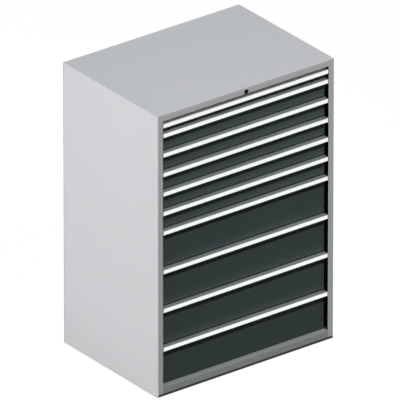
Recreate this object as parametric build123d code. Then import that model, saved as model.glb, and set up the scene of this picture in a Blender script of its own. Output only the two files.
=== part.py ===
from build123d import *
import os
from math import cos, pi, radians, sin

# Drawer cabinet: a folded steel housing with ten full-extension drawers on
# telescopic roller runners, a recessed front with one handle bar per drawer,
# and a central cam lock that raises a bar in the right-hand post.
# Frame: origin at the middle of the base on the floor, +X to the right seen
# from the front, the drawers open towards -Y, +Z up. Millimetres.

# Drawer modules, from the lowest drawer up
deep_module = 200.0
middle_module = 100.0
shallow_module = 50.0
deep_count = 4
middle_count = 5
shallow_count = 1

# Usable inside of a drawer tray
tray_inside_width = 918.0
tray_inside_length = 612.0

# Sheet thicknesses and bends
housing_sheet = 1.5
drawer_sheet = 1.2
bend_radius = 1.5
seam = 0.3

# Housing
post_width = 30.0
post_hem_width = 10.0
rear_flange_width = 20.0
rear_space = 65.1
kick_height = 16.0
sill_top = 50.0
fascia_height = 33.0
fascia_gap = 14.0
fascia_shelf_depth = 40.0
fascia_lip_depth = 15.0
sill_ledge_depth = 34.0
panel_lip_height = 15.0
kick_setback = 4.0
rail_foot_depth = 30.0
rail_top_depth = 20.0

# Rivets of the rear panel
rivet_radius = 2.4
rivet_head_radius = 5.0
rivet_head_height = 1.2
rivet_hole_play = 0.05
rivet_edge_distance = 10.0
side_rivet_count = 7
end_rivet_count = 4

# Floor anchors
anchor_hole_radius = 6.5
anchor_plate_length = 60.0
anchor_plate_width = 60.0
anchor_thickness = 4.0
anchor_access_radius = 15.0
anchor_front_distance = 72.0
anchor_rear_distance = 72.0
anchor_hole_from_leg = 35.0

# Uprights that carry the runners
upright_depth = 27.1
upright_width = 40.0
upright_foot = 12.0
front_upright_distance = 92.0
rear_upright_distance = 100.0
upright_top_drop = 20.0
slot_pitch = 50.0
slot_length = 20.0
slot_height = 5.0

# Drawer fronts and handle bars
front_recess = 28.0
front_panel_depth = 16.0
front_side_gap = 4.0
front_lower_gap = 6.0
front_first_gap = 2.0
stack_gap = 3.0
front_edge_radius = 1.0
handle_side_gap = 3.5
handle_face_height = 20.0
handle_lip_thickness = 3.5
handle_ledge_thickness = 2.0
handle_flange_height = 14.0
handle_bead_depth = 2.5
handle_bead_height = 2.5
label_groove_height = 16.0
label_groove_depth = 0.8

# Trays
tray_rise = 7.0
tray_top_drop = 5.0
tray_corner_radius = 2.0

# Runners: cabinet channel, middle bar with rollers, drawer channel
runner_height = 35.0
runner_lift = 1.5
channel_sheet = 1.5
cabinet_channel_depth = 9.9
drawer_channel_depth = 9.2
middle_bar_thickness = 2.8
middle_bar_height = 30.0
runner_gap = 0.4
runner_front_distance = 62.0
runner_length = 620.0
drawer_travel = tray_inside_length
middle_ratio = 0.5
roller_gap = 0.4
roller_width = 7.0
roller_bore_play = 0.1
roller_pin_radius = 4.0
roller_pin_head_radius = 7.0
roller_pin_head = 1.0
roller_end_margin = 20.0
roller_spacing = 230.0

# Cam lock and lock bar
lock_stand_out = 2.0
lock_from_fascia_bottom = 13.0
lock_bezel_radius = 11.5
lock_body_radius = 9.0
lock_body_length = 22.0
lock_barrel_radius = 6.45
lock_running_play = 0.05
lock_face_recess = 0.5
lock_nut_radius = 11.0
lock_nut_thickness = 4.0
keyhole_width = 1.2
keyhole_height = 7.0
keyhole_depth = 6.0
cam_thickness = 3.0
cam_hub_radius = 7.0
cam_end_radius = 4.5
cam_end_gap = 0.5
peg_radius = 2.0
peg_throw = 8.0
lock_turn_angle = 90.0
rod_thickness = 3.0
rod_gap = 0.5
rod_top_gap = 2.5
rod_bottom_gap = 1.5
rod_left_reach = 18.0
rod_right_reach = 6.0
peg_slot_play = 0.6
pin_radius = 2.5
pin_slot_play = 0.4
pin_drop_in_rod = 5.0
pin_from_bar_edge = 7.5
bar_width = 25.0
bar_thickness = 3.0
bar_gap = 1.5
bar_lip_gap = 0.7
bar_bottom_gap = 10.0
bar_top_margin = 8.0
tab_height = 12.0
tab_side_gap = 0.6
tab_overlap = 11.0
stud_radius = 3.5
stud_reach = 2.7
stud_shank_radius = 2.0
stud_shank_inside = 2.0
stud_head_inside = 1.0
stud_depth_in_flange = 10.0
stud_below_handle_top = 18.0
guide_length = 20.0
guide_wall = 2.0
guide_gap = 0.4
guide_grip = 12.5
bar_guide_count = 3
rod_guide_wall = 2.1
rod_guide_floor = 1.1
rod_guide_height = 12.0
rod_guide_places = (60.0, 420.0)


# Heights, from the floor up
modules = [deep_module] * deep_count
modules += [middle_module] * middle_count
modules += [shallow_module] * shallow_count
drawer_count = len(modules)
stack_bottom = sill_top + stack_gap
module_bottoms = [stack_bottom + sum(modules[:i]) for i in range(drawer_count)]
stack_top = stack_bottom + sum(modules)
fascia_bottom = stack_top + fascia_gap
cabinet_height = fascia_bottom + fascia_height
top_underside = cabinet_height - housing_sheet
floor_top = sill_top - housing_sheet
floor_underside = floor_top - housing_sheet

# Widths, from the middle out to the right
tray_outer = tray_inside_width / 2 + drawer_sheet
drawer_channel_outer = tray_outer + drawer_channel_depth
bar_inner_face = drawer_channel_outer + runner_gap
bar_outer_face = bar_inner_face + middle_bar_thickness
channel_mouth = bar_outer_face + runner_gap
upright_inner = channel_mouth + cabinet_channel_depth
side_inner = upright_inner + upright_depth
side_outer = side_inner + housing_sheet
cabinet_width = 2 * side_outer
opening_half = side_outer - post_width
front_half_width = opening_half - front_side_gap
handle_half_width = opening_half - handle_side_gap
inside_half = side_inner - seam
filler_half = opening_half - seam

# Depths, from the front back
tray_length = tray_inside_length + 2 * drawer_sheet
housing_depth = front_recess + front_panel_depth + tray_length + rear_space + housing_sheet
overall_depth = housing_depth + lock_stand_out + rivet_head_height
front_y = -overall_depth / 2 + lock_stand_out
rear_y = front_y + housing_depth
side_rear_y = rear_y - housing_sheet
panel_y = front_y + front_recess
tray_front_y = panel_y + front_panel_depth
tray_rear_y = tray_front_y + tray_length
runner_front_y = front_y + runner_front_distance
runner_rear_y = runner_front_y + runner_length
front_upright_y = front_y + front_upright_distance
rear_upright_y = rear_y - rear_upright_distance

# Lock places
lock_z = fascia_bottom + lock_from_fascia_bottom
cam_front_y = front_y + lock_body_length + cam_end_gap
rod_front_y = cam_front_y + cam_thickness + rod_gap
rod_rear_y = rod_front_y + rod_thickness
tab_front_y = rod_rear_y + bar_gap
bar_front_y = tab_front_y + bar_thickness
bar_rear_y = bar_front_y + bar_thickness
half_turn = radians(lock_turn_angle / 2)
lock_throw = 2 * peg_throw * sin(half_turn)
rod_bottom = fascia_bottom + housing_sheet + rod_bottom_gap
rod_top = top_underside - rod_top_gap
bar_outer_x = inside_half - housing_sheet - bar_lip_gap
bar_inner_x = bar_outer_x - bar_width
pin_x = bar_inner_x + pin_from_bar_edge
pin_z = rod_bottom + pin_drop_in_rod
bar_bottom = sill_top + bar_bottom_gap
bar_top = pin_z + bar_top_margin


def block(x0, x1, y0, y1, z0, z1):
    middle = Pos((x0 + x1) / 2, (y0 + y1) / 2, (z0 + z1) / 2)
    return middle * Box(x1 - x0, y1 - y0, z1 - z0)


def mirror_x(shape):
    return mirror(shape, about=Plane.YZ)


def rod_along_x(x0, x1, y, z, radius):
    turned = Pos((x0 + x1) / 2, y, z) * Rot(0, 90, 0)
    return turned * Cylinder(radius, x1 - x0)


def rod_along_y(x, y0, y1, z, radius):
    turned = Pos(x, (y0 + y1) / 2, z) * Rot(90, 0, 0)
    return turned * Cylinder(radius, y1 - y0)


def rod_along_z(x, y, z0, z1, radius):
    return Pos(x, y, (z0 + z1) / 2) * Cylinder(radius, z1 - z0)


# A folded sheet: the outline of one face with round bends, given its
# thickness towards the left of the line.
def folded(points, thickness):
    outline = FilletPolyline(*points, radius=bend_radius + thickness)
    return make_face(offset(outline, amount=thickness, side=Side.LEFT))


def folded_upright(points, thickness, z0, z1):
    section = Pos(0, 0, z0) * folded(points, thickness)
    return extrude(section, amount=z1 - z0)


def folded_across(points, thickness, x0, x1):
    section = Pos(x0, 0, 0) * (Plane.YZ * folded(points, thickness))
    return extrude(section, amount=x1 - x0)


def folded_along(points, thickness, y0, y1):
    section = Pos(0, y0, 0) * (Plane.XZ * folded(points, thickness))
    return extrude(section, amount=y0 - y1)


def write(name, *solids):
    shape = solids[0] if len(solids) == 1 else Compound(children=list(solids))
    shape.label = name
    export_step(shape, "parts/" + name + ".step")


def evenly(low, high, count):
    step = (high - low) / (count - 1)
    return [low + step * i for i in range(count)]


# Rivet places on the rear panel: two columns on the side flanges and one
# row on the rear base rail
rivet_hole_radius = rivet_radius + rivet_hole_play
rivet_column_x = side_outer - rivet_edge_distance
rivet_column_z = evenly(floor_top + rivet_edge_distance, cabinet_height - 4 * rivet_edge_distance,
                        side_rivet_count)
rivet_row_x = evenly(-opening_half + 4 * rivet_edge_distance, opening_half - 4 * rivet_edge_distance,
                     end_rivet_count)
rivet_row_z = floor_underside / 2
column_rivets = [(side * rivet_column_x, z) for side in (-1, 1) for z in rivet_column_z]
row_rivets = [(x, rivet_row_z) for x in rivet_row_x]


def rivet(x, z):
    head = rod_along_y(x, rear_y, rear_y + rivet_head_height, z, rivet_head_radius)
    shank = rod_along_y(x, side_rear_y - 2 * housing_sheet, rear_y, z, rivet_radius)
    return head + shank


# Side panel with the front post and the rear flange folded on
def side_panel():
    section = [(opening_half, front_y), (side_outer, front_y), (side_outer, side_rear_y),
               (side_outer - rear_flange_width, side_rear_y)]
    panel = folded_upright(section, housing_sheet, 0, cabinet_height)
    hem_front = front_y + housing_sheet
    panel += block(opening_half, opening_half + post_hem_width, hem_front,
                   hem_front + housing_sheet, 0, cabinet_height)
    hem_edges = panel.edges().filter_by(Axis.Z).group_by(Axis.X)[0]
    panel = fillet(hem_edges, housing_sheet * 0.8)
    notch_x0 = opening_half - rear_flange_width
    bend = bend_radius + housing_sheet
    panel -= block(notch_x0, side_outer - bend, front_y - bend, front_y + bend, 0, kick_height)
    panel -= block(notch_x0, side_inner, front_y - bend, rear_y, top_underside - seam,
                   cabinet_height)
    for z in rivet_column_z:
        panel -= rod_along_y(rivet_column_x, side_rear_y - 2 * housing_sheet, rear_y, z,
                             rivet_hole_radius)
    return panel


right_side = side_panel()
write("right_side_panel", right_side)
write("left_side_panel", mirror_x(right_side))


# Rear panel, riveted on the side flanges and the rear base rail
rear_panel = block(-side_outer, side_outer, side_rear_y, rear_y, 0, cabinet_height)
for x, z in column_rivets + row_rivets:
    rear_panel -= rod_along_y(x, side_rear_y - housing_sheet, rear_y + housing_sheet, z,
                              rivet_hole_radius)
write("rear_panel", rear_panel)
write("rear_panel_rivets", *[rivet(x, z) for x, z in column_rivets + row_rivets])


# Top panel, welded in between the side panels by its two lips
lip_end_gap = post_hem_width
top_panel = block(-inside_half, inside_half, front_y, side_rear_y, top_underside, cabinet_height)
front_top_edge = top_panel.edges().filter_by(Axis.X).sort_by(Axis.Z)[-2:].sort_by(Axis.Y)[0]
top_panel = fillet(front_top_edge, housing_sheet * 0.7)
top_lip = block(inside_half - housing_sheet, inside_half, front_y + lip_end_gap,
                side_rear_y - lip_end_gap, top_underside - panel_lip_height, top_underside)
top_panel += top_lip
top_panel += mirror_x(top_lip)
write("top_panel", top_panel)


# Floor panel on the two base rails, with access holes over the anchors
anchor_x = inside_half - housing_sheet - anchor_hole_from_leg
anchor_front_y = front_y + anchor_front_distance
anchor_rear_y = rear_y - anchor_rear_distance
anchor_places = [(side * anchor_x, y) for side in (-1, 1) for y in (anchor_front_y, anchor_rear_y)]
floor_front_y = front_y + kick_setback + housing_sheet
floor_rear_y = side_rear_y - housing_sheet - bend_radius - seam
floor_panel = block(-inside_half, inside_half, floor_front_y, floor_rear_y, floor_underside,
                    floor_top)
floor_lip = block(inside_half - housing_sheet, inside_half, front_y + rail_foot_depth + post_hem_width,
                  rear_y - rail_foot_depth - post_hem_width, floor_underside - panel_lip_height,
                  floor_underside)
floor_panel += floor_lip
floor_panel += mirror_x(floor_lip)
for x, y in anchor_places:
    floor_panel -= rod_along_z(x, y, 0, sill_top, anchor_access_radius)
write("floor_panel", floor_panel)


# Top fascia between the posts: a channel whose lower shelf carries the lock rod
fascia_top = top_underside - seam
fascia = folded_across([(front_y + fascia_shelf_depth, fascia_bottom), (front_y, fascia_bottom),
                        (front_y, fascia_top), (front_y + fascia_lip_depth, fascia_top)][::-1],
                       housing_sheet, -filler_half, filler_half)
fascia -= rod_along_y(0, front_y - housing_sheet, front_y + bend_radius + housing_sheet, lock_z,
                      lock_body_radius)
write("top_fascia", fascia)


# Bottom sill: front face and the ledge under the lowest drawer
sill = folded_across([(front_y + sill_ledge_depth, sill_top), (front_y, sill_top),
                      (front_y, kick_height)], housing_sheet, -filler_half, filler_half)
write("bottom_sill", sill)


# Kick plate under the front and the rear base rail, both channels on the floor
kick_y = front_y + kick_setback
kick = folded_across([(kick_y + rail_top_depth, floor_underside), (kick_y, floor_underside),
                      (kick_y, 0), (kick_y + rail_foot_depth, 0)], housing_sheet,
                     -inside_half, inside_half)
write("kick_plate", kick)
rail_y = side_rear_y - housing_sheet - seam
rail_half = inside_half - bend_radius
rail = folded_across([(rail_y - rail_foot_depth, 0), (rail_y, 0), (rail_y, floor_underside),
                      (rail_y - rail_top_depth, floor_underside)], housing_sheet,
                     -rail_half, rail_half)
for x, z in row_rivets:
    rail -= rod_along_y(x, rail_y - 2 * housing_sheet, rear_y, z, rivet_hole_radius)
write("rear_base_rail", rail)


# Anchor brackets in the four corners, welded to the floor panel's lips
def anchor_bracket(side, y):
    leg_x = inside_half - housing_sheet
    y0 = y - anchor_plate_length / 2
    y1 = y + anchor_plate_length / 2
    plate = block(leg_x - anchor_plate_width, leg_x, y0, y1, 0, anchor_thickness)
    leg = block(leg_x - anchor_thickness, leg_x, y0, y1, 0, floor_underside)
    bracket = plate + leg
    bracket -= rod_along_z(anchor_x, y, -anchor_thickness, 2 * anchor_thickness, anchor_hole_radius)
    return bracket if side > 0 else mirror_x(bracket)


write("anchor_brackets", *[anchor_bracket(x, y) for x, y in anchor_places])


# Uprights: hat sections welded to the side panels, slotted for the runners
def upright(y):
    half = upright_width / 2
    foot = half + upright_foot
    crown = upright_inner + housing_sheet
    section = [(side_inner, y - foot), (side_inner, y - half), (crown, y - half),
               (crown, y + half), (side_inner, y + half), (side_inner, y + foot)]
    post = folded_upright(section, housing_sheet, floor_top, cabinet_height - upright_top_drop)
    z = floor_top + slot_pitch / 2
    while z < fascia_bottom - slot_pitch / 2:
        post -= block(upright_inner - housing_sheet, crown + housing_sheet, y - slot_length / 2,
                      y + slot_length / 2, z - slot_height / 2, z + slot_height / 2)
        z += slot_pitch
    return post


front_upright = upright(front_upright_y)
rear_upright = upright(rear_upright_y)
write("front_uprights", front_upright, mirror_x(front_upright))
write("rear_uprights", rear_upright, mirror_x(rear_upright))


# Cabinet channels of the runners, one per drawer and side
runner_bottoms = [z + tray_rise + runner_lift for z in module_bottoms]


def cabinet_channel(z0):
    z1 = z0 + runner_height
    return folded_along([(channel_mouth, z0), (upright_inner, z0), (upright_inner, z1),
                         (channel_mouth, z1)], channel_sheet, runner_front_y, runner_rear_y)


right_channels = [cabinet_channel(z) for z in runner_bottoms]
write("right_cabinet_runners", *right_channels)
write("left_cabinet_runners", *[mirror_x(channel) for channel in right_channels])


# Middle bars with their rollers, one pair per drawer
roller_radius = runner_height / 2 - channel_sheet - roller_gap
middle_travel = drawer_travel * middle_ratio
outer_roller_y = [runner_front_y + middle_travel + roller_end_margin,
                  runner_front_y + middle_travel + roller_end_margin + roller_spacing]
last_inner_y = tray_rear_y - drawer_travel + middle_travel - roller_end_margin - front_panel_depth
inner_roller_y = [last_inner_y, last_inner_y - roller_spacing]


def roller(x0, x1, y, z):
    bore = roller_pin_radius + roller_bore_play
    bore_cut = rod_along_x(x0 - roller_gap, x1 + roller_gap, y, z, bore)
    return rod_along_x(x0, x1, y, z, roller_radius) - bore_cut


def middle_bar(z0):
    z = z0 + runner_height / 2
    bar = block(bar_inner_face, bar_outer_face, runner_front_y, runner_rear_y,
                z - middle_bar_height / 2, z + middle_bar_height / 2)
    pieces = []
    for y in outer_roller_y + inner_roller_y:
        bar -= rod_along_x(bar_inner_face - runner_gap, bar_outer_face + runner_gap, y, z,
                           roller_pin_radius + rivet_hole_play)
    for y in outer_roller_y:
        x0 = bar_outer_face + roller_gap
        x1 = x0 + roller_width
        pieces.append(roller(x0, x1, y, z))
        pieces.append(rod_along_x(bar_inner_face, x1, y, z, roller_pin_radius)
                      + rod_along_x(x1, x1 + roller_pin_head, y, z, roller_pin_head_radius))
    for y in inner_roller_y:
        x1 = bar_inner_face - roller_gap
        x0 = x1 - roller_width + 2 * roller_gap
        pieces.append(roller(x0, x1, y, z))
        pieces.append(rod_along_x(x0, bar_outer_face, y, z, roller_pin_radius)
                      + rod_along_x(x0 - roller_pin_head / 2, x0, y, z, roller_pin_head_radius))
    return [bar] + pieces


# Tray: a folded box with the drawer channels welded on its sides
def box_profile(half, z0, z1, radius):
    corners = FilletPolyline((-half, z1), (-half, z0), (half, z0), (half, z1), radius=radius)
    return make_face(corners + Line((half, z1), (-half, z1)))


def tray(z0, z1):
    outer = Plane.XZ * box_profile(tray_outer, z0, z1, tray_corner_radius + drawer_sheet)
    inner = Plane.XZ * box_profile(tray_outer - drawer_sheet, z0 + drawer_sheet, z1,
                                   tray_corner_radius)
    shell = extrude(Pos(0, tray_front_y, 0) * outer, amount=-tray_length)
    shell -= extrude(Pos(0, tray_front_y + drawer_sheet, 0) * inner, amount=-tray_inside_length)
    return shell


def drawer_channel(z0):
    z1 = z0 + runner_height
    return folded_along([(drawer_channel_outer, z1), (tray_outer, z1), (tray_outer, z0),
                         (drawer_channel_outer, z0)], channel_sheet, runner_front_y,
                        tray_rear_y - drawer_sheet)


# Front panel: a pan folded back on all four sides, with the lock stud on the right
def front_panel(z0, z1, stud_z):
    panel = block(-front_half_width, front_half_width, panel_y, tray_front_y, z0, z1)
    panel = fillet(panel.faces().sort_by(Axis.Y)[0].edges(), front_edge_radius)
    panel -= block(-front_half_width + drawer_sheet, front_half_width - drawer_sheet,
                   panel_y + drawer_sheet, tray_front_y, z0 + drawer_sheet, z1 - drawer_sheet)
    stud_y = panel_y + stud_depth_in_flange
    panel -= rod_along_x(front_half_width - 2 * drawer_sheet, front_half_width + drawer_sheet,
                         stud_y, stud_z, stud_shank_radius + rivet_hole_play)
    stud = rod_along_x(front_half_width, front_half_width + stud_reach, stud_y, stud_z, stud_radius)
    stud += rod_along_x(front_half_width - drawer_sheet - stud_shank_inside, front_half_width,
                        stud_y, stud_z, stud_shank_radius)
    stud += rod_along_x(front_half_width - drawer_sheet - stud_head_inside,
                        front_half_width - drawer_sheet, stud_y, stud_z, stud_radius)
    return panel, stud


# Handle bar: a drawn profile with a ledge, a front lip with the label groove,
# a finger bead and a flange on the front panel
def handle_bar(z_top):
    lip_back = front_y + handle_lip_thickness
    groove_back = front_y + label_groove_depth
    groove_top = z_top - (handle_face_height - label_groove_height) / 2
    groove_bottom = groove_top - label_groove_height
    lip_bottom = z_top - handle_face_height
    ledge_bottom = z_top - handle_ledge_thickness
    flange_front = panel_y - handle_ledge_thickness
    bead_back = lip_back + handle_bead_depth
    outline = Polyline((front_y, z_top), (panel_y, z_top),
                       (panel_y, z_top - handle_flange_height),
                       (flange_front, z_top - handle_flange_height),
                       (flange_front, ledge_bottom), (lip_back, ledge_bottom),
                       (lip_back, lip_bottom + handle_bead_height),
                       (bead_back, lip_bottom + handle_bead_height),
                       (bead_back, lip_bottom), (front_y, lip_bottom),
                       (front_y, groove_bottom), (groove_back, groove_bottom),
                       (groove_back, groove_top), (front_y, groove_top), close=True)
    section = Pos(-handle_half_width, 0, 0) * (Plane.YZ * make_face(outline))
    return extrude(section, amount=2 * handle_half_width)


# Drawers, numbered from the top as the photograph shows them
for i, (z0, height) in enumerate(zip(module_bottoms, modules)):
    number = str(drawer_count - i)
    z_top = z0 + height
    tray_bottom = z0 + tray_rise
    panel_bottom = z0 + (front_lower_gap if i else front_first_gap - stack_gap)
    stud_z = z_top - stud_below_handle_top
    channel = drawer_channel(runner_bottoms[i])
    write("tray_" + number, tray(tray_bottom, z_top - tray_top_drop), channel, mirror_x(channel))
    write("front_panel_" + number, *front_panel(panel_bottom, z_top - seam, stud_z))
    write("handle_" + number, handle_bar(z_top))
    bars = middle_bar(runner_bottoms[i])
    write("middle_runners_" + number, *(bars + [mirror_x(piece) for piece in bars]))


# Lock body with its bezel, and the nut that holds it behind the fascia
bore_radius = lock_barrel_radius + lock_running_play
lock_rear_y = front_y + lock_body_length
lock_body = rod_along_y(0, front_y - lock_stand_out, front_y, lock_z, lock_bezel_radius)
lock_body += rod_along_y(0, front_y, lock_rear_y, lock_z, lock_body_radius)
bezel_edge = lock_body.edges().filter_by(GeomType.CIRCLE).sort_by(Axis.Y)[0]
lock_body = fillet(bezel_edge, lock_stand_out / 2)
lock_body -= rod_along_y(0, front_y - lock_stand_out, lock_rear_y, lock_z, bore_radius)
nut_y0 = front_y + housing_sheet
nut_hexagon = Pos(0, nut_y0, lock_z) * (Plane.XZ * RegularPolygon(lock_nut_radius, 6))
nut = extrude(nut_hexagon, amount=-lock_nut_thickness)
nut -= rod_along_y(0, nut_y0, nut_y0 + lock_nut_thickness, lock_z, lock_body_radius)
write("lock_body", lock_body, nut)


# Lock barrel with its keyway, cam and peg; unlocked, the peg stands up and to the left
peg_x = -peg_throw * sin(half_turn)
peg_z = lock_z + peg_throw * cos(half_turn)
barrel_front_y = front_y - lock_stand_out + lock_face_recess
cam_rear_y = cam_front_y + cam_thickness
barrel = rod_along_y(0, barrel_front_y, cam_rear_y, lock_z, lock_barrel_radius)
barrel -= block(-keyhole_width / 2, keyhole_width / 2, barrel_front_y,
                barrel_front_y + keyhole_depth, lock_z - keyhole_height / 2,
                lock_z + keyhole_height / 2)
cam_hub = Pos(0, lock_z) * Circle(cam_hub_radius)
cam_end = Pos(peg_x, peg_z) * Circle(cam_end_radius)
cam_outline = make_face(make_hull((cam_hub + cam_end).edges()))
cam = extrude(Pos(0, cam_front_y, 0) * (Plane.XZ * cam_outline), amount=-cam_thickness)
peg = rod_along_y(peg_x, cam_rear_y, rod_rear_y + rod_gap, peg_z, peg_radius)
write("lock_barrel", barrel + cam + peg)


# Lock rod: slides right when the lock turns, and its slanted slot lifts the bar
rod_left = peg_x - rod_left_reach
rod_right = pin_x + rod_right_reach
rod_plate = block(rod_left, rod_right, rod_front_y, rod_rear_y, rod_bottom, rod_top)
peg_slot_radius = peg_radius + peg_slot_play
peg_slot_low = peg_z - peg_slot_play
peg_slot_high = lock_z + peg_throw + peg_slot_play
peg_slot = rod_along_y(peg_x, rod_front_y, rod_rear_y, peg_slot_low, peg_slot_radius)
peg_slot += rod_along_y(peg_x, rod_front_y, rod_rear_y, peg_slot_high, peg_slot_radius)
peg_slot += block(peg_x - peg_slot_radius, peg_x + peg_slot_radius, rod_front_y, rod_rear_y,
                  peg_slot_low, peg_slot_high)
slant_radius = pin_radius + pin_slot_play
slant_reach = lock_throw + pin_slot_play
slant_slot = rod_along_y(pin_x, rod_front_y, rod_rear_y, pin_z, slant_radius)
slant_slot += rod_along_y(pin_x - slant_reach, rod_front_y, rod_rear_y, pin_z + slant_reach,
                          slant_radius)
slant_middle = Pos(pin_x - slant_reach / 2, (rod_front_y + rod_rear_y) / 2, pin_z + slant_reach / 2)
slant_slot += slant_middle * Rot(0, 45, 0) * Box(slant_reach * 2 ** 0.5, rod_thickness,
                                                 2 * slant_radius)
write("lock_rod", rod_plate - peg_slot - slant_slot)


# Lock bar in the right post: a flat bar, one blocking tab per drawer, and the drive pin
lock_bar = block(bar_inner_x, bar_outer_x, bar_front_y, bar_rear_y, bar_bottom, bar_top)
tab_x0 = front_half_width + tab_side_gap
tab_x1 = bar_inner_x + tab_overlap
tabs = []
for z0, height in zip(module_bottoms, modules):
    tab_z = z0 + height - stud_below_handle_top - lock_throw
    tabs.append(block(tab_x0, tab_x1, tab_front_y, bar_front_y, tab_z - tab_height / 2,
                      tab_z + tab_height / 2))
drive_pin = rod_along_y(pin_x, rod_front_y - rod_gap, bar_front_y, pin_z, pin_radius)
write("lock_bar", lock_bar, drive_pin, *tabs)


# Guides: folded clips that hold the edge of the bar, and saddles for the rod
def bar_guide(z):
    y0 = bar_front_y - guide_gap - guide_wall
    y1 = bar_rear_y + guide_gap + guide_wall
    clip = block(bar_outer_x - guide_grip, side_inner, y0, y1, z - guide_length / 2,
                 z + guide_length / 2)
    clip -= block(bar_outer_x - guide_grip, bar_outer_x + guide_gap, bar_front_y - guide_gap,
                  bar_rear_y + guide_gap, z - guide_length / 2, z + guide_length / 2)
    return clip


def rod_guide(x):
    z0 = fascia_bottom + housing_sheet
    y0 = rod_front_y - guide_gap - rod_guide_wall
    y1 = rod_rear_y + guide_gap + rod_guide_wall
    saddle = block(x - guide_length / 2, x + guide_length / 2, y0, y1, z0, z0 + rod_guide_height)
    saddle -= block(x - guide_length / 2, x + guide_length / 2, rod_front_y - guide_gap,
                    rod_rear_y + guide_gap, z0 + rod_guide_floor, z0 + rod_guide_height)
    return saddle


bar_guide_z = evenly(bar_bottom + 2 * guide_length, fascia_bottom - 2 * guide_length,
                     bar_guide_count)
write("lock_guides", *[bar_guide(z) for z in bar_guide_z],
      *[rod_guide(x) for x in rod_guide_places])

print("cabinet", cabinet_width, overall_depth, cabinet_height)
print("front_y", front_y, "rear_y", rear_y, "lock_z", lock_z, "throw", lock_throw)
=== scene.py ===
import bmesh
import bpy
from math import cos, pi, radians, sin
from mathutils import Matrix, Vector


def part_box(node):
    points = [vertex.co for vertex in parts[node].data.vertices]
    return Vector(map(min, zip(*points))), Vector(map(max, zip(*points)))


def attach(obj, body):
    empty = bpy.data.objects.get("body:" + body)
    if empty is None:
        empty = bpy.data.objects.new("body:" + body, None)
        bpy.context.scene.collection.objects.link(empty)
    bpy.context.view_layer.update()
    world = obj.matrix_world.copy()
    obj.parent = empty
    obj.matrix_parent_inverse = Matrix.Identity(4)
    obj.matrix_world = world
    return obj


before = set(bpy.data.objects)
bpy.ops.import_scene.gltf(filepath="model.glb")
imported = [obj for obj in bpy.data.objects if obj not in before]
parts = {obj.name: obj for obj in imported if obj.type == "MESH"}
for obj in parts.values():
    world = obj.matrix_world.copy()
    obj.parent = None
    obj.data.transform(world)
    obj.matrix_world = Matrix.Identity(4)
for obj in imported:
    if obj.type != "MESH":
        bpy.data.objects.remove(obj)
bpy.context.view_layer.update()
scene = bpy.context.scene


# Housing: two side panels with their front posts, rear, top and floor panels, fascia and
# sill. Folded 1.5 mm sheet steel, spot-welded together and riveted at the back, with a
# light grey powder coat that has a fine orange peel. The sill is sprayed in a mid grey.
surface_outputs = [("Color", "NodeSocketColor"), ("Roughness", "NodeSocketFloat"),
                   ("Height", "NodeSocketFloat")]


# A setting named like one of the node's inputs fills or feeds it, any other is the node's own
def node(tree, kind, **settings):
    made = tree.nodes.new(kind)
    for name, value in settings.items():
        label = name.replace("_", " ")
        if label not in made.inputs:
            setattr(made, name, value)
        elif isinstance(value, bpy.types.NodeSocket):
            tree.links.new(value, made.inputs[label])
        else:
            made.inputs[label].default_value = value
    return made


def new_group(name, inputs, outputs, kind="ShaderNodeTree"):
    tree = bpy.data.node_groups.new(name, kind)
    for label, socket_type, value in inputs:
        socket = tree.interface.new_socket(label, in_out="INPUT", socket_type=socket_type)
        if value is not None:
            socket.default_value = value
    for label, socket_type in outputs:
        tree.interface.new_socket(label, in_out="OUTPUT", socket_type=socket_type)
    return tree, tree.nodes.new("NodeGroupInput"), tree.nodes.new("NodeGroupOutput")


def maths(tree, operation, first, second):
    made = tree.nodes.new("ShaderNodeMath")
    made.operation = operation
    for socket, value in zip(made.inputs, (first, second)):
        if isinstance(value, (int, float)):
            socket.default_value = value
        else:
            tree.links.new(value, socket)
    return made.outputs[0]


def noise(tree, place, **settings):
    return node(tree, "ShaderNodeTexNoise", Vector=place, **settings).outputs["Fac"]


def put_out(tree, result, tone, shade, roughness, height):
    tint = node(tree, "ShaderNodeVectorMath", operation="SCALE", Vector=tone, Scale=shade)
    tree.links.new(tint.outputs[0], result.inputs["Color"])
    tree.links.new(roughness, result.inputs["Roughness"])
    tree.links.new(height, result.inputs["Height"])


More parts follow.
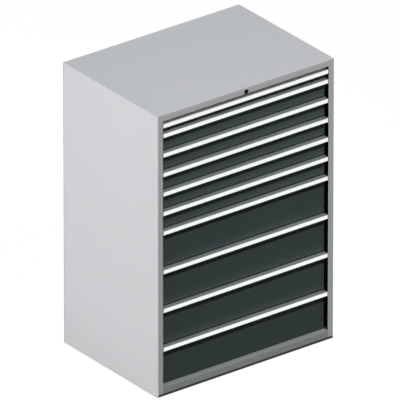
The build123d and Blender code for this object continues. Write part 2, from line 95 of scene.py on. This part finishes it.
def powder_coat_group():
    fleck_share = 2.0
    scuff_darkening = 0.5
    scuff_dulling = 0.4
    tree, given, result = new_group(
        "powder_coat",
        [("Place", "NodeSocketVector", None), ("Tone", "NodeSocketColor", None),
         ("Peel Scale", "NodeSocketFloat", 700.0), ("Cloud", "NodeSocketFloat", 0.03),
         ("Sheen Spread", "NodeSocketFloat", 0.08), ("Roughness", "NodeSocketFloat", 0.5),
         ("Scuffs", "NodeSocketFloat", 0.2), ("Scuff Height", "NodeSocketFloat", 0.12)],
        surface_outputs)
    place = given.outputs["Place"]
    cloud_share = given.outputs["Cloud"]
    peel = noise(tree, place, Scale=given.outputs["Peel Scale"], Detail=2.0, Roughness=0.45)
    cloud = noise(tree, place, Scale=4.0, Detail=4.0, Roughness=0.6)
    around = maths(tree, "SUBTRACT", cloud, 0.5)
    flecks = maths(tree, "SUBTRACT", peel, 0.5)
    shade = maths(tree, "ADD", maths(tree, "MULTIPLY", around, cloud_share), 1.0)
    fleck_shade = maths(tree, "MULTIPLY", flecks, maths(tree, "MULTIPLY", cloud_share, fleck_share))
    shade = maths(tree, "ADD", shade, fleck_shade)
    # Scuffs are streaks cut out of a stretched noise, and fade out upwards from the floor
    stretch = node(tree, "ShaderNodeMapping", Vector=place, Scale=(5.0, 5.0, 46.0))
    streak = noise(tree, stretch.outputs["Vector"], Scale=3.0, Detail=5.0, Roughness=0.7)
    cut = node(tree, "ShaderNodeMapRange", Value=streak, From_Min=0.62, From_Max=0.74)
    height = node(tree, "ShaderNodeSeparateXYZ", Vector=place).outputs["Z"]
    low = node(tree, "ShaderNodeMapRange", Value=height, From_Min=0.0,
               From_Max=given.outputs["Scuff Height"], To_Min=1.0, To_Max=0.0)
    scuff = maths(tree, "MULTIPLY", cut.outputs["Result"], low.outputs["Result"])
    scuff = maths(tree, "MULTIPLY", scuff, given.outputs["Scuffs"])
    shade = maths(tree, "SUBTRACT", shade, maths(tree, "MULTIPLY", scuff, scuff_darkening))
    spread = maths(tree, "MULTIPLY", around, given.outputs["Sheen Spread"])
    rough = maths(tree, "ADD", given.outputs["Roughness"], spread)
    rough = maths(tree, "ADD", rough, maths(tree, "MULTIPLY", scuff, scuff_dulling))
    put_out(tree, result, given.outputs["Tone"], shade, rough, peel)
    return tree


def new_material(name, effect, tone, bump_strength, bump_depth, shader_values,
                 shift=(0.0, 0.0, 0.0), **values):
    made = bpy.data.materials.new(name)
    made.use_nodes = True
    made.diffuse_color = (*tone, 1.0)
    tree = made.node_tree
    shader = tree.nodes["Principled BSDF"]
    for label, value in shader_values.items():
        shader.inputs[label.replace("_", " ")].default_value = value
    where = tree.nodes.new("ShaderNodeTexCoord")
    moved = node(tree, "ShaderNodeMapping", Vector=where.outputs["Object"], Location=shift)
    pattern = node(tree, "ShaderNodeGroup", node_tree=effect, Place=moved.outputs["Vector"],
                   Tone=(*tone, 1.0), **values)
    bump = node(tree, "ShaderNodeBump", Strength=bump_strength, Distance=bump_depth,
                Height=pattern.outputs["Height"])
    tree.links.new(pattern.outputs["Color"], shader.inputs["Base Color"])
    tree.links.new(pattern.outputs["Roughness"], shader.inputs["Roughness"])
    tree.links.new(bump.outputs["Normal"], shader.inputs["Normal"])
    return made


powder_coat = powder_coat_group()


def painted(name, paint, specular, **values):
    return new_material(name, powder_coat, paint, bump_strength=0.12, bump_depth=0.0004,
                        shader_values={"Specular_IOR_Level": specular}, **values)


def finish(material, *names):
    for name in names:
        mesh = parts[name].data
        mesh.materials.clear()
        mesh.materials.append(material)


housing_grey = (0.615, 0.625, 0.642)
housing_paint = painted("light_grey_powder_coat", housing_grey, specular=0.25, Roughness=0.52)
finish(housing_paint, "left_side_panel", "right_side_panel", "rear_panel", "top_panel",
       "floor_panel", "top_fascia")
sill_grey = (0.365, 0.385, 0.39)
sill_paint = painted("mid_grey_powder_coat", sill_grey, specular=0.25, Roughness=0.52, Scuffs=0.3)
finish(sill_paint, "bottom_sill")


# Base: the kick plate under the front and the rear base rail. Folded steel with a black
# dip coat, matt and a little uneven, scuffed along the floor.
dip_black = (0.085, 0.087, 0.09)
black_dip = painted("black_dip_coat", dip_black, specular=0.15, Roughness=0.6, Cloud=0.25,
                    Peel_Scale=320.0, Scuffs=0.5, Scuff_Height=0.05)
finish(black_dip, "kick_plate", "rear_base_rail")


# Rear rivets, anchor brackets, slotted uprights, runner channels and middle bars. Rolled
# and punched steel, bright zinc plated, with the faint clouding of the plating bath and
# fine lines along the runners from rolling. The lock's guides get a near-black zinc as
# painted shade, so the gap beside the drawers where they show reads dark.
def zinc_group():
    bloom_share = 0.3
    patch_middle = 0.65
    patch_shade = 0.25
    patch_dulling = 0.3
    tree, given, result = new_group(
        "zinc_plate",
        [("Place", "NodeSocketVector", None), ("Tone", "NodeSocketColor", None),
         ("Bloom Scale", "NodeSocketFloat", 45.0), ("Line Depth", "NodeSocketFloat", 0.4),
         ("Roughness", "NodeSocketFloat", 0.34)],
        surface_outputs)
    place = given.outputs["Place"]
    bloom = node(tree, "ShaderNodeTexVoronoi", Vector=place, Scale=given.outputs["Bloom Scale"],
                 Randomness=1.0)
    grey = node(tree, "ShaderNodeSeparateColor", Color=bloom.outputs["Color"])
    cloud = noise(tree, place, Scale=14.0, Detail=3.0)
    patch = maths(tree, "ADD", maths(tree, "MULTIPLY", grey.outputs[0], bloom_share), cloud)
    patch = maths(tree, "SUBTRACT", patch, patch_middle)
    rolled = node(tree, "ShaderNodeMapping", Vector=place, Scale=(900.0, 3.0, 900.0))
    lines = noise(tree, rolled.outputs["Vector"], Scale=1.0, Detail=2.0)
    shade = maths(tree, "ADD", maths(tree, "MULTIPLY", patch, patch_shade), 1.0)
    duller = maths(tree, "MULTIPLY", patch, patch_dulling)
    rough = maths(tree, "ADD", given.outputs["Roughness"], duller)
    height = maths(tree, "MULTIPLY", lines, given.outputs["Line Depth"])
    put_out(tree, result, given.outputs["Tone"], shade, rough, height)
    return tree


zinc_plate = zinc_group()


def zinc(name, metal, **values):
    return new_material(name, zinc_plate, metal, bump_strength=0.25, bump_depth=0.0003,
                        shader_values={"Metallic": 1.0}, **values)


bright_zinc = zinc("bright_zinc_plate", (0.62, 0.63, 0.65), Roughness=0.34, Bloom_Scale=45.0)
rivet_steel = zinc("rivet_steel", (0.55, 0.56, 0.57), Roughness=0.28, Bloom_Scale=160.0)
# Near-black zinc on the lock's guides is painted shade for the dark gap beside the drawers.
guide_painted_shade_zinc = zinc("near_black_zinc_painted_shade", (0.035, 0.036, 0.038), Roughness=0.5, Bloom_Scale=45.0)
drawer_numbers = range(1, 11)
finish(bright_zinc, "anchor_brackets", "front_uprights", "rear_uprights", "left_cabinet_runners",
       "right_cabinet_runners", *["middle_runners_%d" % n for n in drawer_numbers])
finish(guide_painted_shade_zinc, "lock_guides")
finish(rivet_steel, "rear_panel_rivets")


# Drawer trays with their runner channels: folded 1.2 mm sheet with a smooth grey coat that
# is a little darker than the housing's, has a finer orange peel and carries no scuffs.
tray_grey = (0.48, 0.49, 0.5)
tray_paint = painted("tray_powder_coat", tray_grey, specular=0.35, Roughness=0.46, Cloud=0.06,
                     Peel_Scale=900.0, Scuffs=0.0)
finish(tray_paint, *["tray_%d" % n for n in drawer_numbers])


# Drawer fronts: pans of 1.2 mm sheet with an anthracite coat that has a touch of green.
# Each front is sprayed on its own, so the clouding of the coat differs from one to the next.
anthracite = (0.06, 0.081, 0.079)
for n in drawer_numbers:
    front_paint = painted("anthracite_powder_coat_%d" % n, anthracite, specular=0.04,
                          shift=(0.37 * n, 0.11 * n, 0.0), Roughness=0.5, Cloud=0.1,
                          Peel_Scale=620.0, Sheen_Spread=0.1, Scuffs=0.25, Scuff_Height=0.12)
    finish(front_paint, "front_panel_%d" % n)


# Handle bars: one drawn aluminium profile per drawer, the full width of the front, clear
# anodised. The die leaves fine lines along its length, in the colour and in the gloss.
def drawn_lines_group():
    lengthways_scale = 2.5
    line_dulling = 0.12
    cloud_dulling = 0.08
    tree, given, result = new_group(
        "drawn_lines",
        [("Place", "NodeSocketVector", None), ("Tone", "NodeSocketColor", None),
         ("Line Scale", "NodeSocketFloat", 1400.0), ("Contrast", "NodeSocketFloat", 0.05),
         ("Roughness", "NodeSocketFloat", 0.3)],
        surface_outputs)
    place = given.outputs["Place"]
    line_scale = given.outputs["Line Scale"]
    split = node(tree, "ShaderNodeSeparateXYZ", Vector=place)
    joined = node(tree, "ShaderNodeCombineXYZ",
                  X=maths(tree, "MULTIPLY", split.outputs["X"], lengthways_scale),
                  Y=maths(tree, "MULTIPLY", split.outputs["Y"], line_scale),
                  Z=maths(tree, "MULTIPLY", split.outputs["Z"], line_scale))
    lines = noise(tree, joined.outputs["Vector"], Scale=1.0, Detail=3.0, Roughness=0.6)
    cloud = noise(tree, place, Scale=7.0, Detail=2.0)
    around = maths(tree, "SUBTRACT", lines, 0.5)
    shade = maths(tree, "ADD", maths(tree, "MULTIPLY", around, given.outputs["Contrast"]), 1.0)
    duller = maths(tree, "MULTIPLY", around, line_dulling)
    rough = maths(tree, "ADD", given.outputs["Roughness"], duller)
    patch = maths(tree, "MULTIPLY", maths(tree, "SUBTRACT", cloud, 0.5), cloud_dulling)
    put_out(tree, result, given.outputs["Tone"], shade, maths(tree, "ADD", rough, patch), lines)
    return tree


drawn_lines = drawn_lines_group()


def drawn_metal(name, metal, clear_coat, **values):
    return new_material(name, drawn_lines, metal, bump_strength=0.08, bump_depth=0.0002,
                        shader_values={"Metallic": 1.0, **clear_coat}, **values)


anodised = drawn_metal("clear_anodised_aluminium", (0.78, 0.795, 0.8), clear_coat={},
                       Roughness=0.5, Contrast=0.05, Line_Scale=1400.0)
finish(anodised, *["handle_%d" % n for n in drawer_numbers])


# Label strips: one blank strip of silver-backed film per handle bar, under a thin clear
# cover, slid into the groove of the lip from the side. Bare and without any lettering.
label_film = drawn_metal("silver_label_film", (0.955, 0.965, 0.965),
                         clear_coat={"Coat_Weight": 0.25, "Coat_Roughness": 0.12},
                         Roughness=0.24, Contrast=0.012, Line_Scale=260.0)
groove_depth = 0.0008
groove_play = 0.0002
strip_thickness = 0.0006
strip_end_gap = 0.002
face_height = 0.020
groove_height = 0.016
strip_corner = 0.0015
corner_steps = 4
# The cover's long edges are rounded over: depth and inset, in shares of the thickness
cover_profile = ((0.0, 0.0), (0.6, 0.0), (0.85, 0.12), (1.0, 0.4))


def new_object(name, data):
    made = bpy.data.objects.new(name, data)
    scene.collection.objects.link(made)
    return made


def rounded_outline(x0, x1, z0, z1, radius, steps):
    points = []
    for cx, cz, start in ((x1 - radius, z1 - radius, 0.0), (x0 + radius, z1 - radius, pi / 2),
                          (x0 + radius, z0 + radius, pi), (x1 - radius, z0 + radius, 1.5 * pi)):
        for i in range(steps + 1):
            turn = start + pi / 2 * i / steps
            points.append((cx + radius * cos(turn), cz + radius * sin(turn)))
    return points


def label_strip(n):
    low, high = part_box("handle_%d" % n)
    top = high.z - (face_height - groove_height) / 2 - groove_play
    bottom = high.z - (face_height + groove_height) / 2 + groove_play
    back = low.y + groove_depth
    made = bmesh.new()
    rings = []
    for depth, inset in cover_profile:
        shrink = inset * strip_thickness
        outline = rounded_outline(low.x + strip_end_gap + shrink, high.x - strip_end_gap - shrink,
                                  bottom + shrink, top - shrink, strip_corner - shrink,
                                  corner_steps)
        rings.append([made.verts.new((x, back - depth * strip_thickness, z)) for x, z in outline])
    count = len(rings[0])
    for lower, upper in zip(rings, rings[1:]):
        for i in range(count):
            k = (i + 1) % count
            made.faces.new((lower[i], lower[k], upper[k], upper[i]))
    made.faces.new(rings[0])
    made.faces.new(rings[-1])
    bmesh.ops.recalc_face_normals(made, faces=made.faces)
    mesh = bpy.data.meshes.new("label_strip_%d" % n)
    made.to_mesh(mesh)
    made.free()
    mesh.materials.append(label_film)
    return new_object("label_strip_%d" % n, mesh)


for n in drawer_numbers:
    strip = label_strip(n)
    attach(strip, "drawer_%d" % n)


# Handle rivets: seven steel rivets hold each bar's back flange on the drawer front. Their
# domed heads sit in the finger gap, behind the lip, in one row.
row_inputs = [("Geometry", "NodeSocketGeometry", None), ("Count", "NodeSocketInt", None),
              ("Start", "NodeSocketVector", None), ("Step", "NodeSocketVector", None)]
row_outputs = [("Geometry", "NodeSocketGeometry")]


def with_material(tree, geometry, material):
    made = node(tree, "GeometryNodeSetMaterial", Geometry=geometry, Material=material)
    return made.outputs["Geometry"]


def in_a_row(tree, given, piece, **turn):
    line = node(tree, "GeometryNodeMeshLine", mode="OFFSET", count_mode="TOTAL",
                Count=given.outputs["Count"], Start_Location=given.outputs["Start"],
                Offset=given.outputs["Step"])
    spread = node(tree, "GeometryNodeInstanceOnPoints", Points=line.outputs["Mesh"],
                  Instance=piece, **turn)
    real = node(tree, "GeometryNodeRealizeInstances", Geometry=spread.outputs["Instances"])
    return real.outputs["Geometry"]


def grow(name, tree, values):
    carrier = new_object(name + "_carrier", bpy.data.meshes.new(name + "_carrier"))
    modifier = carrier.modifiers.new("rows", "NODES")
    modifier.node_group = tree
    for item in tree.interface.items_tree:
        if item.item_type == "SOCKET" and item.in_out == "INPUT" and item.name in values:
            modifier[item.identifier] = values[item.name]
    bpy.context.view_layer.update()
    evaluated = carrier.evaluated_get(bpy.context.evaluated_depsgraph_get())
    mesh = bpy.data.meshes.new_from_object(evaluated)
    carrier.modifiers.remove(modifier)
    bpy.data.objects.remove(carrier)
    mesh.name = name
    return new_object(name, mesh)


def rivet_row_tree():
    tree, given, result = new_group(
        "rivet_row",
        row_inputs + [("Head Radius", "NodeSocketFloat", None),
                      ("Head Height", "NodeSocketFloat", None),
                      ("Metal", "NodeSocketMaterial", None)],
        row_outputs, "GeometryNodeTree")
    radius = given.outputs["Head Radius"]
    head = node(tree, "GeometryNodeMeshUVSphere", Segments=16, Rings=8, Radius=radius)
    flatness = maths(tree, "DIVIDE", given.outputs["Head Height"], radius)
    flat = node(tree, "ShaderNodeCombineXYZ", X=1.0, Y=flatness, Z=1.0)
    press = node(tree, "GeometryNodeTransform", Geometry=head.outputs["Mesh"],
                 Scale=flat.outputs["Vector"])
    smooth = node(tree, "GeometryNodeSetShadeSmooth", Geometry=press.outputs["Geometry"])
    row = in_a_row(tree, given, smooth.outputs["Geometry"])
    tree.links.new(with_material(tree, row, given.outputs["Metal"]), result.inputs["Geometry"])
    return tree


rivet_row = rivet_row_tree()
rivet_count = 7
rivet_edge = 0.04
rivet_head_radius = 0.0035
rivet_head_height = 0.0012
flange_drop = 0.008
flange_thickness = 0.002
for n in drawer_numbers:
    low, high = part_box("handle_%d" % n)
    pitch = (high.x - low.x - 2 * rivet_edge) / (rivet_count - 1)
    start = (low.x + rivet_edge, high.y - flange_thickness, high.z - flange_drop)
    rivets = grow("handle_rivets_%d" % n, rivet_row,
                  {"Count": rivet_count, "Start": start, "Step": (pitch, 0.0, 0.0),
                   "Head Radius": rivet_head_radius, "Head Height": rivet_head_height,
                   "Metal": rivet_steel})
    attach(rivets, "drawer_%d" % n)


# Divider slots: the tray walls are punched with a row of upright slots, 17 mm apart,
# that slotted partition walls hook into. Each slot is drawn as a pressed rim around a dark
# disc lying just on the wall: the disc is painted shade in place of the open hole.
# The dark slot disc is painted shade that stands in for the open hole.
painted_slot_shade = painted("slot_hole_painted_shade", (0.03, 0.03, 0.032), specular=0.1, Roughness=0.7, Cloud=0.2,
                    Scuffs=0.0)
slot_width = 0.003
slot_height_share = 0.5
slot_end_share = 0.49
slot_rim = 0.0004
shade_disc_lift = 0.00008
slot_pitch = 0.017
slot_edge = 0.026
tray_sheet = 0.0012
channel_depth = 0.0092


def slot_row_tree():
    tree, given, result = new_group(
        "divider_slots",
        row_inputs + [("Turn", "NodeSocketVector", None), ("Slot Width", "NodeSocketFloat", None),
                      ("Slot Height", "NodeSocketFloat", None), ("Rim", "NodeSocketFloat", None),
                      ("Wall", "NodeSocketMaterial", None), ("Hole Shade", "NodeSocketMaterial", None)],
        row_outputs, "GeometryNodeTree")
    width = given.outputs["Slot Width"]
    outline = node(tree, "GeometryNodeCurvePrimitiveQuadrilateral", Width=width,
                   Height=given.outputs["Slot Height"])
    rounded = node(tree, "GeometryNodeFilletCurve", mode="POLY", Curve=outline.outputs["Curve"],
                   Count=3, Radius=maths(tree, "MULTIPLY", width, slot_end_share))
    ring = node(tree, "GeometryNodeCurvePrimitiveCircle", Resolution=5, Radius=given.outputs["Rim"])
    rim = node(tree, "GeometryNodeCurveToMesh", Curve=rounded.outputs["Curve"],
               Profile_Curve=ring.outputs["Curve"])
    # The filled outline is the dark disc of painted shade inside the rim.
    shade_disc = node(tree, "GeometryNodeFillCurve", Curve=rounded.outputs["Curve"])
    lift = node(tree, "GeometryNodeTransform", Geometry=shade_disc.outputs["Mesh"],
                Translation=(0.0, 0.0, shade_disc_lift))
    slot = tree.nodes.new("GeometryNodeJoinGeometry")
    for piece, label in ((rim.outputs["Mesh"], "Wall"), (lift.outputs["Geometry"], "Hole Shade")):
        tree.links.new(with_material(tree, piece, given.outputs[label]), slot.inputs["Geometry"])
    turned = node(tree, "FunctionNodeEulerToRotation", Euler=given.outputs["Turn"])
    row = in_a_row(tree, given, slot.outputs["Geometry"], Rotation=turned.outputs["Rotation"])
    tree.links.new(row, result.inputs["Geometry"])
    return tree


divider_slots = slot_row_tree()
for n in drawer_numbers:
    low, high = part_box("tray_%d" % n)
    inner_x = high.x - channel_depth - tray_sheet
    front_wall = low.y + tray_sheet
    rear_wall = high.y - tray_sheet
    middle_z = (low.z + high.z) / 2
    along = int((rear_wall - front_wall - 2 * slot_edge) / slot_pitch) + 1
    across = int((2 * inner_x - 2 * slot_edge) / slot_pitch) + 1
    start_y = (front_wall + rear_wall - (along - 1) * slot_pitch) / 2
    start_x = -(across - 1) * slot_pitch / 2
    rows = [("left", along, (-inner_x, start_y, middle_z), (0, slot_pitch, 0), (pi / 2, 0, pi / 2)),
            ("right", along, (inner_x, start_y, middle_z), (0, slot_pitch, 0), (pi / 2, 0, -pi / 2)),
            ("front", across, (start_x, front_wall, middle_z), (slot_pitch, 0, 0), (pi / 2, 0, pi)),
            ("rear", across, (start_x, rear_wall, middle_z), (slot_pitch, 0, 0), (pi / 2, 0, 0))]
    for wall, count, start, step, turn in rows:
        slots = grow("divider_slots_%s_%d" % (wall, n), divider_slots,
                     {"Count": count, "Start": start, "Step": step, "Turn": turn,
                      "Slot Width": slot_width, "Slot Height": (high.z - low.z) * slot_height_share,
                      "Rim": slot_rim, "Wall": tray_paint, "Hole Shade": painted_slot_shade})
        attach(slots, "drawer_%d" % n)


# Central lock: a black die-cast body with a rounded bezel, a black barrel with its keyway,
# and behind the fascia the cam, the rod and the long bar with its blocking tabs.
# Deep black: the lock's own colour, and painted shade on the rod and the bar behind the fascia.
deep_black = (0.006, 0.006, 0.007)
lock_black = painted("black_lock_coat", deep_black, specular=0.04, Roughness=0.42, Cloud=0.15,
                     Peel_Scale=1500.0, Scuffs=0.0)
# The rod and bar colour is painted shade: near black and matt, so the gap beside the drawers, where
# the bar shows, reads dark.
bar_painted_shade = painted("bar_painted_shade_black", deep_black, specular=0.03, Roughness=0.62, Cloud=0.2,
                    Peel_Scale=420.0, Scuffs=0.0)
finish(lock_black, "lock_body", "lock_barrel")
finish(bar_painted_shade, "lock_rod", "lock_bar")


# Studio: a floor and a backdrop that read as white, a low key light from the left, a high
# spot in front whose shadows lie under the handle bars, and fills for the side and the back.
def seen_directly(tree):
    path = tree.nodes.new("ShaderNodeLightPath")
    seen = maths(tree, "MAXIMUM", path.outputs["Is Camera Ray"], path.outputs["Is Glossy Ray"])
    return maths(tree, "MAXIMUM", seen, path.outputs["Is Transmission Ray"])


full_white = (1.0, 1.0, 1.0, 1.0)
floor_grey = (0.16, 0.16, 0.16, 1.0)
floor_white_share = 0.75
floor_white = 1.32
floor_half = 20.0
floor_drop = 0.0005
floor_mesh = bpy.data.meshes.new("floor")
floor_corners = ((-floor_half, -floor_half), (floor_half, -floor_half),
                 (floor_half, floor_half), (-floor_half, floor_half))
floor_mesh.from_pydata([(x, y, -floor_drop) for x, y in floor_corners], [], [(0, 1, 2, 3)])
floor = new_object("floor", floor_mesh)
floor_material = bpy.data.materials.new("pale_floor")
floor_material.use_nodes = True
tree = floor_material.node_tree
tree.nodes.clear()
matt = node(tree, "ShaderNodeBsdfDiffuse", Color=floor_grey)
white = node(tree, "ShaderNodeEmission", Color=full_white, Strength=floor_white)
blend = tree.nodes.new("ShaderNodeMixShader")
tree.links.new(maths(tree, "MULTIPLY", seen_directly(tree), floor_white_share), blend.inputs[0])
tree.links.new(matt.outputs[0], blend.inputs[1])
tree.links.new(white.outputs[0], blend.inputs[2])
tree.links.new(blend.outputs[0], tree.nodes.new("ShaderNodeOutputMaterial").inputs["Surface"])
floor_mesh.materials.append(floor_material)

ambient = 0.04
world = bpy.data.worlds.new("studio")
scene.world = world
world.use_nodes = True
tree = world.node_tree
sky = tree.nodes["Background"]
sky.inputs["Color"].default_value = full_white
lift = maths(tree, "MULTIPLY", seen_directly(tree), 1.0 - ambient)
tree.links.new(maths(tree, "ADD", lift, ambient), sky.inputs["Strength"])


def lamp(name, kind, towards, energy, at=(0.0, 0.0, 3.0), **settings):
    data = bpy.data.lights.new(name, kind)
    data.energy = energy
    for label, value in settings.items():
        setattr(data, label, value)
    made = new_object(name, data)
    made.location = at
    made.rotation_euler = Vector(towards).to_track_quat("Z", "Y").to_euler()


lamp("key_light", "SUN", towards=(-0.97, 0.0, 0.05), energy=2.38, angle=radians(8))
lamp("rear_fill", "SUN", towards=(0.82, 0.55, 0.06), energy=2.3, angle=radians(15),
     color=(0.92, 0.97, 1.0))
lamp("front_spot", "SPOT", towards=(1.05, -8.24, 10.8), energy=5500.0, at=(1.2, -8.6, 12.3),
     spot_size=radians(18), spot_blend=1.0, shadow_soft_size=0.4)
lamp("side_lamp", "AREA", towards=(-1.9, -0.1, 0.8), energy=10.0, at=(-2.4, -0.1, 1.75),
     shape="DISK", size=1.4)
lamp("back_lamp", "AREA", towards=(1.0, 1.7, 1.3), energy=3.0, at=(1.0, 2.0, 2.6),
     shape="DISK", size=1.2, color=(0.75, 0.9, 1.0))


# Camera: far off with a very long lens, so that the view is as parallel as the photograph's.
# It looks down on the cabinet's middle from the front left, shifted by about a pixel.
lens = 1500.0
sensor = 36.0
near_limit = 1.0
far_limit = 400.0
frame_width = 1.8564
image_width = 400
azimuth = radians(-37.23)
elevation = radians(26.35)
middle = Vector((0.0, 0.0, 0.725))
offset_right = 1.3
offset_up = 1.0
away = Vector((sin(azimuth) * cos(elevation), -cos(azimuth) * cos(elevation), sin(elevation)))
sideways = Vector((cos(azimuth), sin(azimuth), 0.0))
upwards = away.cross(sideways)
metres_per_pixel = frame_width / image_width
camera_data = bpy.data.cameras.new("camera")
camera_data.type = "PERSP"
camera_data.lens = lens
camera_data.sensor_width = sensor
camera_data.clip_start = near_limit
camera_data.clip_end = far_limit
camera = new_object("camera", camera_data)
camera.rotation_euler = away.to_track_quat("Z", "Y").to_euler()
camera.location = (middle + away * (frame_width * lens / sensor)
                   + sideways * (offset_right * metres_per_pixel)
                   + upwards * (offset_up * metres_per_pixel))
scene.camera = camera
scene.view_settings.view_transform = "Standard"
